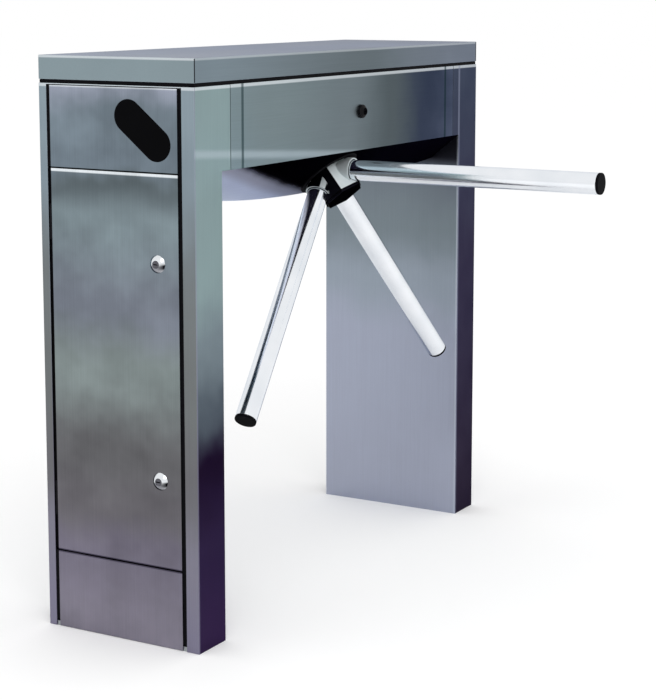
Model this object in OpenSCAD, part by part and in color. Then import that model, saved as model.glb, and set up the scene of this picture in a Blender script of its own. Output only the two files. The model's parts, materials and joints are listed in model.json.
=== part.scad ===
// Tripod turnstile with a bridge housing: two legs, a beam that holds the mechanism, three arms.
// The origin is on the floor, midway between the legs. +X is the passage side, +Y the far leg.

/* [Housing] */
// Width of the housing, along X
body_w = 310; // [290:5:380]
// Length of the housing, along Y
body_l = 1040; // [980:10:1300]
// Height of the housing with its lid
body_h = 980; // [960:5:1040]
// Depth of each leg, along Y
leg_d = 80; // [74:1:110]
// Depth of each leg's head, beside the beam
head_d = 106; // [100:1:130]
// Height of the beam's side panels
beam_h = 140; // [132:1:160]
// Height of the kick panel under the service door
kick_h = 136; // [80:1:240]
// Thickness of the stainless sheet
sheet = 2; // [1.5:0.1:2.5]
// Width of the rim that is turned in at the top of the housing
rim = 14; // [10:1:20]
// Gap between neighbouring panels
seam = 2.5; // [1:0.5:4]

/* [Lid] */
// Height of the lid
lid_h = 40; // [30:1:60]
// Height of the dark seal under the lid
lid_gap = 6; // [4:0.5:8]
// Diameter of the lid hinge's knuckles
lid_knuckle_d = 8; // [7:0.5:10]
// Diameter of the lid hinge's pins
lid_pin_d = 4; // [3:0.5:5]
// Length of each lid hinge
lid_hinge_l = 90; // [60:5:120]

/* [End face] */
// Width of the corner flange on the hinge side
flange_left = 15; // [13:1:20]
// Width of the corner flange on the lock side
flange_right = 25; // [20:1:32]
// Open joint on the hinge side
joint_left = 7; // [7:0.5:9]
// Sealed joint on the lock side
joint_right = 8; // [7:0.5:10]
// Length of the window
window_long = 126; // [110:2:134]
// Width of the window
window_short = 55; // [40:1:56]
// Tilt of the window's long axis below the horizontal
window_tilt = 39; // [30:1:45]
// Distance of the window's centre from the middle of the housing
window_x = 54; // [40:1:54]
// Height of the window's centre above the beam's lower edge
window_up = 68; // [62:1:72]
// Distance of the locks from the door's free edge
lock_in = 41; // [32:1:50]
// Height of the upper lock
lock_high_z = 646; // [560:1:700]
// Height of the lower lock
lock_low_z = 284; // [220:1:330]
// Diameter of a lock's domed face
lock_face_d = 31; // [26:1:34]
// Diameter of a lock's barrel
lock_barrel_d = 19; // [17:0.5:20]

/* [Tripod] */
// Tilt of the tripod's axis below the horizontal
tilt = 51; // [49:0.5:53]
// Angle between each arm and the tripod's axis
arm_angle = 51; // [49:0.5:53]
// Distance from the point where the arms' axes meet to an arm's end
arm_reach = 542; // [450:2:600]
// Diameter of an arm
arm_d = 38; // [32:1:40]
// Wall of an arm
arm_wall = 2; // [1.5:0.1:3]
// Size of the hub across its corners
hub_d = 86; // [84:1:90]
// Length of the hub's six-sided part
hub_l = 54; // [54:1:60]
// Diameter of the main shaft
shaft_d = 25; // [22:0.5:28]
// Outer diameter of the shaft's ball bearings
bearing_d = 52; // [50:1:56]
// Width of the shaft's ball bearings
bearing_w = 15; // [13:0.5:15]

/* [Base] */
// Thickness of the base plates
base_t = 8; // [6:1:12]
// Distance between the floor anchors, along X
anchor_x = 220; // [180:5:240]
// Diameter of the floor anchor holes
anchor_hole_d = 14; // [12:1:18]
// Diameter of the cable entry in each base plate
cable_hole_d = 50; // [30:2:50]

/* [Hidden] */

// Clearance between parts that are assembled and stay put
fit_gap = 0.2;
// Radial clearance of pins and shafts that turn
run_gap = 0.05;
// Gap between flat parts that slide past each other
side_gap = 0.5;
// Small overlap that keeps cuts clean
cut = 1;

// Heights of the housing
lid_z = body_h - lid_h;
body_top = lid_z - lid_gap;
beam_z = body_top - beam_h;

// Places along the length and the width
end_y = body_l / 2;
leg_in_y = end_y - leg_d;
head_in_y = end_y - head_d;
side_x = body_w / 2;
door_x0 = -side_x + flange_left + joint_left;
door_x1 = side_x - flange_right - joint_right;
head_z0 = beam_z + seam / 2;
panel_top = body_top - sheet;
lip_in = 6;
lip_w = 12;
door_return = 10;
kick_return_in = 6;
hinge_knuckle_d = 6;
hinge_pin_d = 3;
door_hinge_l = 60;
door_leaf_w = 20;
lid_leaf_h = 26;
leaf_t = 2;
door_pivot_x = -side_x + flange_left + joint_left / 2;
door_pivot_y = -end_y + hinge_knuckle_d / 2;
door_z0 = kick_h + seam / 2;
door_z1 = beam_z - seam / 2;
door_hinge_places = [door_z0 + door_hinge_l, door_z1 - 2 * door_hinge_l];
lid_hinge_places = [-0.73 * end_y, 0, 0.73 * end_y];
lid_pivot_x = -side_x - 1 - lid_knuckle_d / 2;
lid_pivot_z = body_top + lid_gap / 2;
seal_in = 1;
lock_x = door_x1 - lock_in;

// The slanted face of the belly is square to the tripod's axis and starts at the beam's edge
belly_drop = 82;
belly_arc_rise = 32;
belly_z = beam_z - belly_drop;
belly_half = leg_in_y;
belly_arc_r = (belly_half * belly_half + belly_arc_rise * belly_arc_rise) / (2 * belly_arc_rise);
apex_back = 9;
apex_side = 67;
apex_x = side_x - apex_back * cos(tilt) - apex_side * sin(tilt);
apex_z = beam_z + apex_back * sin(tilt) - apex_side * cos(tilt);

// Places along the tripod's axis, from the point where the arms' axes meet
hub_s = 4;
hub_end_s = hub_s + hub_l;
hub_cap_d = hub_d - 6;
hub_cap_t = 5;
hub_recess_d = 24;
hub_recess = 14;
hub_bolt_d = 8;
hub_bolt_head_d = 18;
hub_bolt_head_t = 8;
hub_bolt_l = 30;
hub_bolt_play = 1;
hub_bolt_socket_w = 7;
collar_d = 46;
collar_end = 58;
arm_root = 46;
arm_plug = 12;
nose_d = 84;
nose_end_s = 3;
shaft_step = 9;
shaft_in_hub = 34;
shaft_nose_s = hub_s + shaft_in_hub;
mouth_d = 98;
mouth_ring_d = 122;
mouth_ring_s = 11;
plate_t = 8;
plate_s = -10;
flange_d = 104;
front_bearing_s = -15;
rear_bearing_s = -125;
race_half = 6;
race_groove = 2;
rear_plate_s = -118;
shaft_end_s = -128;
disc_s = [-46, -30];
cam_s = [-62, -46];
gear_s = [-84, -62];
code_s = [-108, -84];
boss_d = 38;
pillar_x = 42;
pillar_y = 95;
pillar_d = 14;
pillar_edge = 10;
bearing_wall = 8;
bearing_lip = 6;
gusset_y = 120;
gusset_t = 5;
rail_w = 20;
rail_h = 25;
rail_foot_h = 10;
rail_foot_l = 30;
rail_end = end_y - 20;
rail_z = beam_z + rail_foot_h;

// The mechanism's front plate and the pads that it is screwed to, across the tripod's axis
plate_low = -62;
plate_high = 54;
plate_side = gusset_y + 20;
pad_low = -60;
pad_high = 46;
pad_w = 18;
gusset_high = pad_high + 2;
pad_screw_d = 6.6;
pad_screw_xs = [-46, 34];
pad_screw_y = gusset_y + 11;
gear_module = 2;
gear_teeth = 48;
pinion_teeth = 16;
gear_play = 0.3;
gear_distance = gear_module * (gear_teeth + pinion_teeth) / 2 + gear_play;

// The lock in the side panel
override_y = 28;
override_z = beam_z + 71;

// The windows, the boards behind them and the tongues that hook the fixed panels
window_rot = -window_tilt;
window_z = beam_z + window_up;
window_lip = 6;
window_lip_t = 2;
window_proud = 0.6;
board_gap = 16;
board_w = 110;
board_h = 80;
board_t = 1.6;
stud_d = 6;
stud_room = 2;
board_corner = 6;
led_d = 5;
led_l = 8;
led_row = 10;
led_line = 12;
// The four corners of the board, as offsets from the window's centre
board_corners = [for (x = [-1, 1], z = [-1, 1])
    [x * (board_w / 2 - board_corner), z * (board_h / 2 - board_corner)]];
tongue_w = 17;
tongue_h = 30;

// The locks
lock_face_t = 7;
lock_dome = 0.62;
lock_plug_sunk = 0.6;
beam_lock_d = 25;
beam_lock_t = 11;
beam_lock_cam_l = 20;
lock_depth = 10;
lock_plug_d = 13;
lock_nut_w = 25;
lock_nut_t = 4;
lock_cam_t = 2.5;
lock_cam_w = 14;
lock_cam_past = 6;
lock_cam_l = lock_in + lock_cam_past;
key_slot_w = 2;
key_slot_h = 8;
key_slot_depth = 4;

// The far end's cover screws
cover_screw_d = 5;
cover_screw_head_d = 9;
cover_screw_head_t = 2.5;
cover_screw_x = side_x - flange_right - lip_w / 2;
cover_screw_low = 60;
cover_screw_high = 40;
cover_screw_zs = [cover_screw_low, beam_z / 3, beam_z * 2 / 3, beam_z - cover_screw_high];
cover_pad_d = 10;
cover_tongue_end = 60;
cover_socket_w = 3.5;
cover_socket = 2;

// The electronics
tray_y = [-0.75 * end_y, -0.33 * end_y];
relay_along = 0.28;
chip_along = 0.23;
plug_along = 0.72;
tray_l = tray_y[1] - tray_y[0];
tray_edge = 20;
board_post_h = 8;
board_post_d = 8;
board_post_in = 10;
board_x = [-120, -10];
relay_size = [30, 40, 12.4];
chip_size = [25, 25, 6.4];
plug_size = [12, 30, 10.4];
supply_x = [10, 100];
supply_h = 38;

// The arms' end caps and the shaft's wheels
arm_cap_t = 5;
arm_cap_plug = 25;
disc_d = 120;
disc_at = [-40, -32];
notch_w = 14;
notch_depth = 9;
cam_at = [-58, -48];
cam_high = 42;
cam_low = 32;
cam_mid = (cam_high + cam_low) / 2;
cam_wave = (cam_high - cam_low) / 2;
roller_d = 20;
roller_gap = 0.5;
lever_a = -160;
lever_w = 16;
lever_at = [-64, -59.5];
roller_at = [-58, -49];
roller_x = (cam_high + roller_d / 2 + roller_gap) * cos(lever_a);
roller_y = (cam_high + roller_d / 2 + roller_gap) * sin(lever_a);
lever_pin_d = 8;
lever_boss_d = pillar_d + 12;
lever_pin_past = 1;
gear_at = [-76, -68];
tooth_side = [[-0.29, -1.2], [-0.12, 0.9], [0.12, 0.9], [0.29, -1.2]];
damper_s = -86;
damper_shaft_d = 10;
damper_d = 44;
damper_shaft_in = 14;
damper_shaft_past = 4;
code_at = [-98, -96];
code_d = 72;
code_slot = 9;
code_slot_w = 8;
sensor_in = 8;
sensor_size = [22, 16];
sensor_past = 8;
sensor_slot_l = 12;
sensor_slot_side = 2;

// The pawls and their solenoids
pawl_w = 12;
pawl_at = [-41, -31];
pawl_nose_x = 5;
pawl_clear = 1.5;
pawl_nose_y = disc_d / 2 + pawl_w / 2 + pawl_clear;
solenoid_x = [-25, 5];
solenoid_y = [90, 114];
solenoid_low = 10;
plunger_gap = 2.5;
plunger_l = 22;
plunger_d = 8;

// A point of the tripod's frame, in the housing's XZ plane
function axis_x(s, up) = apex_x + s * cos(tilt) + up * sin(tilt);
function axis_z(s, up) = apex_z - s * sin(tilt) + up * cos(tilt);
// The belly's slanted face at a height, moved inwards by a distance
function slant_x(z, inset) = side_x - inset / cos(tilt) - (beam_z - z) * tan(tilt);
function polar(r, a) = [r * cos(a), r * sin(a)];

// A box given by its two corners
module box(low, high) {
    translate(low)
        cube(high - low);
}

// Puts what follows on the tripod's axis: +Z points out of the hub, +X up and out
module on_axis() {
    translate([apex_x, 0, apex_z])
        rotate([0, 90 + tilt, 0])
            rotate([0, 0, 180])
                children();
}

// Puts what follows on one arm's axis
module on_arm(i) {
    on_axis()
        rotate([0, 0, i * 120])
            rotate([0, arm_angle, 0])
                children();
}

module ring(outer_d, inner_d, z0, z1) {
    translate([0, 0, z0])
        difference() {
            cylinder(h = z1 - z0, d = outer_d, $fn = 96);
            translate([0, 0, -cut])
                cylinder(h = z1 - z0 + 2 * cut, d = inner_d, $fn = 96);
        }
}

module rod(d, z0, z1) {
    translate([0, 0, z0])
        cylinder(h = z1 - z0, d = d, $fn = 96);
}

// A hole through an end face, along Y
module hole_y(x, z, d, y0, y1) {
    translate([x, y1, z])
        rotate([90, 0, 0])
            cylinder(h = y1 - y0, d = d, $fn = 64);
}

module base_plate() {
    difference() {
        box([-side_x + sheet, -end_y + sheet, 0], [side_x - sheet, -leg_in_y - sheet, base_t]);
        for (x = [-anchor_x / 2, anchor_x / 2])
            translate([x, -(end_y + leg_in_y) / 2, -cut])
                cylinder(h = base_t + 2 * cut, d = anchor_hole_d, $fn = 48);
        translate([0, -(end_y + leg_in_y) / 2, -cut])
            cylinder(h = base_t + 2 * cut, d = cable_hole_d, $fn = 64);
    }
}

module base_plates() {
    color("dimgray") {
        base_plate();
        mirror([0, 1, 0])
            base_plate();
    }
}

// One leg of folded sheet with its wider head, open at the end face and towards the beam
module leg_shell() {
    flange_x = side_x - flange_right;
    difference() {
        union() {
            box([-side_x, -end_y, 0], [side_x, -leg_in_y, beam_z + sheet]);
            box([-side_x, -end_y, beam_z], [side_x, -head_in_y, body_top]);
        }
        box([-side_x + sheet, -end_y + sheet, -cut], [side_x - sheet, -leg_in_y - sheet, panel_top]);
        box([-side_x + sheet, -end_y + sheet, beam_z + sheet],
            [side_x - sheet, -head_in_y + cut, panel_top]);
        box([-side_x + rim, -end_y + rim, panel_top - cut],
            [side_x - rim, -head_in_y + cut, body_top + cut]);
        box([-side_x + flange_left, -end_y - cut, -cut], [flange_x, -end_y + sheet + cut, panel_top]);
    }
    box([flange_x, -end_y + sheet, base_t + cut],
        [flange_x + sheet, -end_y + lip_in + sheet, panel_top]);
    box([flange_x - lip_w, -end_y + lip_in, base_t + cut],
        [flange_x + sheet, -end_y + lip_in + sheet, panel_top]);
}

module front_leg() {
    color("silver")
        leg_shell();
}

// One long side of the beam, turned in at its upper and lower edges
module side_panel() {
    length = 2 * (head_in_y - seam / 2);
    translate([0, -length / 2, 0]) {
        box([side_x - sheet, 0, beam_z], [side_x, length, body_top]);
        box([side_x - rim, 0, beam_z], [side_x, length, beam_z + sheet]);
        box([side_x - rim, 0, panel_top], [side_x, length, body_top]);
    }
}

module right_side_panel() {
    color("silver")
        difference() {
            side_panel();
            translate([side_x - rim, override_y, override_z])
                rotate([0, 90, 0])
                    cylinder(h = 2 * rim, d = lock_barrel_d + fit_gap, $fn = 64);
        }
}

module left_side_panel() {
    color("silver")
        mirror([1, 0, 0])
            side_panel();
}

// The outline of the belly across the beam, moved inwards by a distance
module belly_profile(inset, top) {
    floor_z = belly_z + inset;
    polygon([
        [slant_x(beam_z, inset) + top * tan(tilt), beam_z + top],
        [slant_x(floor_z, inset), floor_z],
        [-slant_x(floor_z, inset), floor_z],
        [-slant_x(beam_z, inset) - top * tan(tilt), beam_z + top]
    ]);
}

// The belly's outline drawn along Y, with its underside on a shallow arc
module belly_solid(inset, top, half) {
    intersection() {
        rotate([90, 0, 0])
            linear_extrude(height = 2 * half, center = true)
                belly_profile(inset, top);
        translate([-body_w, 0, belly_z + belly_arc_r])
            rotate([0, 90, 0])
                cylinder(h = 2 * body_w, r = belly_arc_r - inset, $fn = 720);
    }
}

module belly_cover() {
    color("slategray")
        difference() {
            belly_solid(0, 0, belly_half);
            belly_solid(sheet, cut, belly_half + cut);
            on_axis()
                rod(mouth_d, plate_s, mouth_ring_s);
        }
}

// Two rails along the beam, two cross plates and the pads that hold the mechanism
module chassis() {
    rail_x = side_x - sheet - rail_w / 2;
    color("dimgray") {
        difference() {
            union() {
                for (side = [-1, 1])
                    translate([side * rail_x, 0, rail_z + rail_h / 2])
                        cube([rail_w, 2 * rail_end, rail_h], center = true);
                for (side = [-1, 1])
                    translate([0, side * gusset_y, 0])
                        rotate([90, 0, 0])
                            linear_extrude(height = gusset_t, center = true)
                                polygon([
                                    [axis_x(plate_s, pad_low), axis_z(plate_s, pad_low)],
                                    [axis_x(plate_s, gusset_high), axis_z(plate_s, gusset_high)],
                                    [side_x - sheet - rail_w, rail_z + sheet],
                                    [side_x - sheet - rail_w, rail_z + rail_h],
                                    [-side_x + sheet + rail_w, rail_z + rail_h],
                                    [-side_x + sheet + rail_w, rail_z]
                                ]);
                on_axis()
                    for (side = [-1, 1])
                        translate([pad_low, side * (gusset_y + pad_w / 2) - pad_w / 2,
                            plate_s - gusset_t])
                            cube([pad_high - pad_low, pad_w, gusset_t]);
                for (side = [-1, 1])
                    for (wall = [-1, 1])
                        translate([wall * rail_x, side * (rail_end - rail_w),
                            beam_z + (rail_foot_h + sheet) / 2])
                            cube([rail_w, rail_foot_l, rail_foot_h - sheet], center = true);
            }
            pad_holes();
        }
    }
}

module pad_holes() {
    on_axis()
        for (side = [-1, 1])
            for (x = pad_screw_xs)
                translate([x, side * pad_screw_y, plate_s - 2 * gusset_t])
                    cylinder(h = 4 * gusset_t, d = pad_screw_d, $fn = 32);
}

module lid() {
    color("gainsboro")
        difference() {
            box([-side_x, -end_y, lid_z], [side_x, end_y, body_h]);
            box([-side_x + sheet, -end_y + sheet, lid_z - cut],
                [side_x - sheet, end_y - sheet, body_h - sheet]);
        }
}

module lid_seal() {
    color("black")
        difference() {
            box([-side_x + seal_in, -end_y + seal_in, body_top],
                [side_x - seal_in, end_y - seal_in, lid_z - fit_gap]);
            box([-side_x + rim, -end_y + rim, body_top - cut], [side_x - rim, end_y - rim, lid_z + cut]);
        }
}

// The knuckles of a hinge along Z: the middle third when inner, else the two outer thirds
module knuckles(outer_d, pin_d, length, inner) {
    third = length / 3;
    starts = inner ? [third] : [0, 2 * third];
    for (z = starts)
        ring(outer_d, pin_d + 2 * run_gap, z + side_gap / 2, z + third - side_gap / 2);
}

// One lid hinge's leaf: up against the lid, or down against the side panel
module lid_leaf(on_lid) {
    third = lid_hinge_l / 3;
    starts = on_lid ? [third] : [0, 2 * third];
    low = on_lid ? lid_pivot_z + side_gap : body_top - lid_leaf_h;
    high = on_lid ? lid_z + lid_leaf_h : lid_pivot_z - side_gap;
    difference() {
        union() {
            translate([lid_pivot_x, lid_hinge_l / 2, lid_pivot_z])
                rotate([90, 0, 0])
                    knuckles(lid_knuckle_d, lid_pin_d, lid_hinge_l, on_lid);
            for (y = starts)
                box([-side_x - leaf_t, y - lid_hinge_l / 2 + side_gap / 2, low],
                    [-side_x, y + third - lid_hinge_l / 2 - side_gap / 2, high]);
        }
        translate([lid_pivot_x, lid_hinge_l, lid_pivot_z])
            rotate([90, 0, 0])
                cylinder(h = 2 * lid_hinge_l, d = lid_pin_d + 2 * run_gap, $fn = 96);
    }
}

module lid_hinge_leaves() {
    color("gray")
        for (y = lid_hinge_places)
            translate([0, y, 0])
                lid_leaf(true);
}

module panel_hinge_leaves() {
    color("gray")
        for (y = lid_hinge_places)
            translate([0, y, 0])
                lid_leaf(false);
}

// One door hinge's leaf: behind the door, or behind the leg's corner flange
module door_leaf(on_door) {
    third = door_hinge_l / 3;
    starts = on_door ? [third] : [0, 2 * third];
    x0 = on_door ? door_pivot_x : -side_x + sheet + cut;
    x1 = on_door ? door_x0 + door_leaf_w : door_pivot_x;
    back = -end_y + sheet;
    difference() {
        union() {
            translate([door_pivot_x, door_pivot_y, 0])
                knuckles(hinge_knuckle_d, hinge_pin_d, door_hinge_l, on_door);
            for (z = starts)
                box([x0, back, z + side_gap / 2], [x1, back + leaf_t, z + third - side_gap / 2]);
        }
        translate([door_pivot_x, door_pivot_y, -cut])
            cylinder(h = door_hinge_l + 2 * cut, d = hinge_pin_d + 2 * run_gap, $fn = 96);
    }
}

module door_hinge_leaves() {
    color("gray")
        for (z = door_hinge_places)
            translate([0, 0, z])
                door_leaf(true);
}

module leg_hinge_leaves() {
    color("gray")
        for (z = door_hinge_places)
            translate([0, 0, z])
                door_leaf(false);
}

module hinge_pins() {
    color("lightgray") {
        for (y = lid_hinge_places)
            translate([lid_pivot_x, y + lid_hinge_l / 2, lid_pivot_z])
                rotate([90, 0, 0])
                    rod(lid_pin_d, 0, lid_hinge_l);
        for (z = door_hinge_places)
            translate([door_pivot_x, door_pivot_y, z])
                rod(hinge_pin_d, 0, door_hinge_l);
    }
}

// Draws the window's shape with its round ends, standing along Y between two depths
module window_shape(grow, y0, y1) {
    translate([window_x, y1, window_z])
        rotate([90, 0, 0])
            rotate([0, 0, window_rot])
                linear_extrude(height = y1 - y0) {
                    square([window_long - window_short, window_short + grow], center = true);
                    for (side = [-1, 1])
                        translate([side * (window_long - window_short) / 2, 0])
                            circle(d = window_short + grow, $fn = 96);
                }
}

// Tongues at some heights, which hook a fixed panel behind the corner flange
module tongues(heights) {
    back = -end_y + sheet;
    for (z = heights)
        box([door_x0 - tongue_w, back, z - tongue_h / 2],
            [door_x0 + 2 * sheet, back + sheet, z + tongue_h / 2]);
}

// The end face's upper panel with its oval opening and the studs behind it
module head_panel() {
    back = -end_y + sheet;
    difference() {
        box([door_x0, -end_y, head_z0], [door_x1, back, panel_top - seam / 2]);
        window_shape(0, -end_y - cut, back + cut);
    }
    for (c = board_corners)
        hole_y(window_x + c[0], window_z + c[1], stud_d, back, back + board_gap);
    tongues([head_z0 + tongue_h, panel_top - tongue_h]);
}

module front_head_panel() {
    color("silver")
        head_panel();
}

module rear_head_panel() {
    color("silver")
        mirror([0, 1, 0])
            head_panel();
}

module window_pane() {
    back = -end_y + sheet;
    window_shape(-2 * fit_gap, -end_y - window_proud, back);
    difference() {
        window_shape(2 * window_lip, back, back + window_lip_t);
        for (c = board_corners)
            hole_y(window_x + c[0], window_z + c[1], stud_d + stud_room, back - cut,
                back + window_lip_t + cut);
    }
}

module front_window() {
    color("black")
        window_pane();
}

module rear_window() {
    color("black")
        mirror([0, 1, 0])
            window_pane();
}

// A board with rows of lamps that shine through the window
module indicator_board() {
    face = -end_y + sheet + board_gap;
    box([window_x - board_w / 2, face, window_z - board_h / 2],
        [window_x + board_w / 2, face + board_t, window_z + board_h / 2]);
    for (i = [-4:4])
        for (j = [-1:1])
            hole_y(window_x + i * led_row * cos(window_rot) - j * led_line * sin(window_rot),
                window_z + i * led_row * sin(window_rot) + j * led_line * cos(window_rot),
                led_d, face - led_l, face);
}

module indicator_boards() {
    color("darkgreen") {
        indicator_board();
        mirror([0, 1, 0])
            indicator_board();
    }
}

module service_door() {
    back = -end_y + sheet;
    return_x = side_x - flange_right - lip_w - sheet - cut;
    color("silver") {
        difference() {
            box([door_x0, -end_y, door_z0], [door_x1, back, door_z1]);
            for (z = [lock_low_z, lock_high_z])
                hole_y(lock_x, z, lock_barrel_d + fit_gap, -end_y - cut, back + cut);
        }
        for (z = [door_z0, door_z1 - sheet])
            box([door_x0, back, z], [return_x, back + door_return, z + sheet]);
    }
}

module kick_panel() {
    back = -end_y + sheet;
    top = kick_h - seam / 2;
    color("silver") {
        box([door_x0, -end_y, cut], [door_x1, back, top]);
        box([door_x0, back, top - sheet], [door_x1 - kick_return_in, back + door_return, top]);
        box([door_x0, back, base_t + cut],
            [door_x1 - kick_return_in, back + door_return, base_t + cut + sheet]);
        tongues([kick_h / 2]);
    }
}

// The rubber strip that fills the joint on the lock side of an end face
module end_seal(low) {
    flange_x = side_x - flange_right;
    box([flange_x - lip_w + cut, -end_y + sheet + fit_gap, low],
        [flange_x, -end_y + lip_in, panel_top - cut]);
}

module end_seals() {
    color("black") {
        end_seal(base_t + 2 * cut);
        mirror([0, 1, 0])
            end_seal(beam_z + sheet);
    }
}

// A lock's body on the face z = 0, its domed face above and its barrel below
module lock_body(face_d, face_t) {
    dome_r = lock_dome * face_d;
    difference() {
        union() {
            intersection() {
                cylinder(h = face_t, d = face_d, $fn = 96);
                translate([0, 0, face_t - dome_r])
                    sphere(r = dome_r, $fn = 96);
            }
            translate([0, 0, -lock_depth])
                cylinder(h = lock_depth + cut, d = lock_barrel_d, $fn = 96);
        }
        translate([0, 0, -lock_depth - cut])
            cylinder(h = lock_depth + face_t + 2 * cut, d = lock_plug_d + 2 * run_gap, $fn = 96);
    }
    translate([0, 0, -sheet - lock_nut_t])
        difference() {
            cylinder(h = lock_nut_t, d = lock_nut_w, $fn = 6);
            translate([0, 0, -cut])
                cylinder(h = lock_nut_t + 2 * cut, d = lock_barrel_d + fit_gap, $fn = 96);
        }
}

// A lock's plug with its key slot, and its cam pointing along +X behind the barrel
module lock_plug(cam_l, face_t) {
    face = face_t - lock_plug_sunk;
    difference() {
        translate([0, 0, -lock_depth - side_gap - lock_cam_t])
            cylinder(h = face + lock_depth + side_gap + lock_cam_t, d = lock_plug_d, $fn = 96);
        translate([-key_slot_w / 2, -key_slot_h / 2, face - key_slot_depth])
            cube([key_slot_w, key_slot_h, key_slot_depth + cut]);
    }
    translate([0, -lock_cam_w / 2, -lock_depth - side_gap - lock_cam_t])
        cube([cam_l, lock_cam_w, lock_cam_t]);
}

// Puts a lock on the near end face at a height, with its +X turned to point down
module on_door(z) {
    translate([lock_x, -end_y, z])
        rotate([90, 0, 0])
            rotate([0, 0, -90])
                children();
}

module door_lock_bodies() {
    color("gainsboro") {
        on_door(lock_high_z)
            lock_body(lock_face_d, lock_face_t);
        on_door(lock_low_z)
            lock_body(lock_face_d, lock_face_t);
    }
}

module upper_lock_plug() {
    color("gray")
        on_door(lock_high_z)
            lock_plug(lock_cam_l, lock_face_t);
}

module lower_lock_plug() {
    color("gray")
        on_door(lock_low_z)
            lock_plug(lock_cam_l, lock_face_t);
}

// Puts the override lock on the right side panel
module on_panel() {
    translate([side_x, override_y, override_z])
        rotate([0, 90, 0])
            children();
}

module override_lock_body() {
    color("dimgray")
        on_panel()
            lock_body(beam_lock_d, beam_lock_t);
}

module override_lock_plug() {
    color("gray")
        on_panel()
            lock_plug(beam_lock_cam_l, beam_lock_t);
}

module cover_screw_holes() {
    for (z = cover_screw_zs)
        hole_y(cover_screw_x, z, cover_screw_d + fit_gap, end_y - 2 * lip_in, end_y + cut);
}

module rear_leg() {
    color("silver")
        difference() {
            mirror([0, 1, 0])
                leg_shell();
            cover_screw_holes();
        }
}

// The far end face: one fixed cover from the floor to the beam
module rear_cover() {
    back = end_y - sheet;
    color("silver") {
        difference() {
            union() {
                box([door_x0, back, cut], [side_x - flange_right - seam, end_y, door_z1]);
                for (z = cover_screw_zs)
                    hole_y(cover_screw_x, z, cover_pad_d, end_y - lip_in, end_y - cut);
            }
            cover_screw_holes();
        }
        mirror([0, 1, 0])
            tongues([cover_tongue_end, beam_z / 2, beam_z - cover_tongue_end]);
    }
}

module rear_cover_screws() {
    color("lightgray")
        for (z = cover_screw_zs)
            difference() {
                union() {
                    hole_y(cover_screw_x, z, cover_screw_d, end_y - 2 * lip_in, end_y + cut);
                    hole_y(cover_screw_x, z, cover_screw_head_d, end_y, end_y + cover_screw_head_t);
                }
                translate([cover_screw_x, end_y + cover_screw_head_t + cut, z])
                    rotate([90, 0, 0])
                        cylinder(h = cover_socket + cut, d = cover_socket_w, $fn = 6);
            }
}

// A tray across the rails that carries the electronics
module electronics_tray() {
    rail_top = rail_z + rail_h;
    color("darkgray") {
        box([-side_x + 2 * sheet, tray_y[0], rail_top],
            [side_x - rim - cut, tray_y[1], rail_top + sheet]);
        for (x = [board_x[0] + board_post_in, board_x[1] - board_post_in])
            for (y = [tray_y[0] + tray_edge + board_post_in, tray_y[1] - tray_edge - board_post_in])
                translate([x, y, rail_top + sheet])
                    cylinder(h = board_post_h, d = board_post_d, $fn = 32);
    }
}

module control_board() {
    z = rail_z + rail_h + sheet + board_post_h;
    top = z + board_t;
    color("darkgreen") {
        box([board_x[0], tray_y[0] + tray_edge, z], [board_x[1], tray_y[1] - tray_edge, top]);
        translate([board_x[0] + tray_edge, tray_y[0] + relay_along * tray_l, top])
            cube(relay_size);
        translate([board_x[0] + 3 * tray_edge, tray_y[0] + chip_along * tray_l, top])
            cube(chip_size);
        translate([board_x[0] + relay_size[0] / 8, tray_y[0] + plug_along * tray_l, top])
            cube(plug_size);
    }
}

module power_supply() {
    z = rail_z + rail_h + sheet;
    color("lightgray")
        box([supply_x[0], tray_y[0] + tray_edge, z],
            [supply_x[1], tray_y[1] - 2 * tray_edge, z + supply_h]);
}

module mechanism_plate() {
    color("gray")
        on_axis()
            difference() {
                translate([plate_low, -plate_side, plate_s])
                    cube([plate_high - plate_low, 2 * plate_side, plate_t]);
                rod(nose_d + fit_gap, plate_s - cut, 0);
                for (side = [-1, 1])
                    for (x = pad_screw_xs)
                        translate([x, side * pad_screw_y, plate_s - cut])
                            cylinder(h = plate_t + 2 * cut, d = pad_screw_d, $fn = 32);
            }
}

module rear_plate() {
    color("gray")
        on_axis()
            difference() {
                union() {
                    translate([-pillar_x - pillar_edge, -pillar_y - pillar_edge, rear_plate_s])
                        cube([2 * (pillar_x + pillar_edge), 2 * (pillar_y + pillar_edge), plate_t]);
                    rod(bearing_d + 2 * bearing_wall, rear_bearing_s - 2 * cut, rear_plate_s + cut);
                }
                rod(bearing_d + fit_gap, rear_bearing_s, rear_plate_s + plate_t + cut);
                rod(bearing_d - 2 * bearing_lip, rear_bearing_s - 3 * cut, rear_bearing_s + cut);
            }
}

// The four pillars between the two plates; two of them carry the pawls, one the roller's lever
module mechanism_pillars() {
    color("lightgray")
        on_axis()
            for (x = [-pillar_x, pillar_x])
                for (y = [-pillar_y, pillar_y])
                    translate([x, y, 0])
                        rod(pillar_d, rear_plate_s + plate_t, plate_s);
}

module bearing_housing() {
    color("dimgray")
        on_axis()
            difference() {
                union() {
                    rod(nose_d, plate_s - cut, nose_end_s);
                    rod(flange_d, plate_s - plate_t, plate_s);
                }
                rod(bearing_d + fit_gap, front_bearing_s, nose_end_s + cut);
                rod(bearing_d - 2 * bearing_lip, plate_s - plate_t - cut, front_bearing_s + cut);
            }
}

// A ball bearing as one body, with a groove between its races on both faces
module bearing(s) {
    mid = (bearing_d + shaft_d) / 2;
    difference() {
        ring(bearing_d, shaft_d + 2 * run_gap, s, s + bearing_w);
        ring(mid + race_half, mid - race_half, s - cut, s + race_groove);
        ring(mid + race_half, mid - race_half, s + bearing_w - race_groove, s + bearing_w + cut);
    }
}

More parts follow.
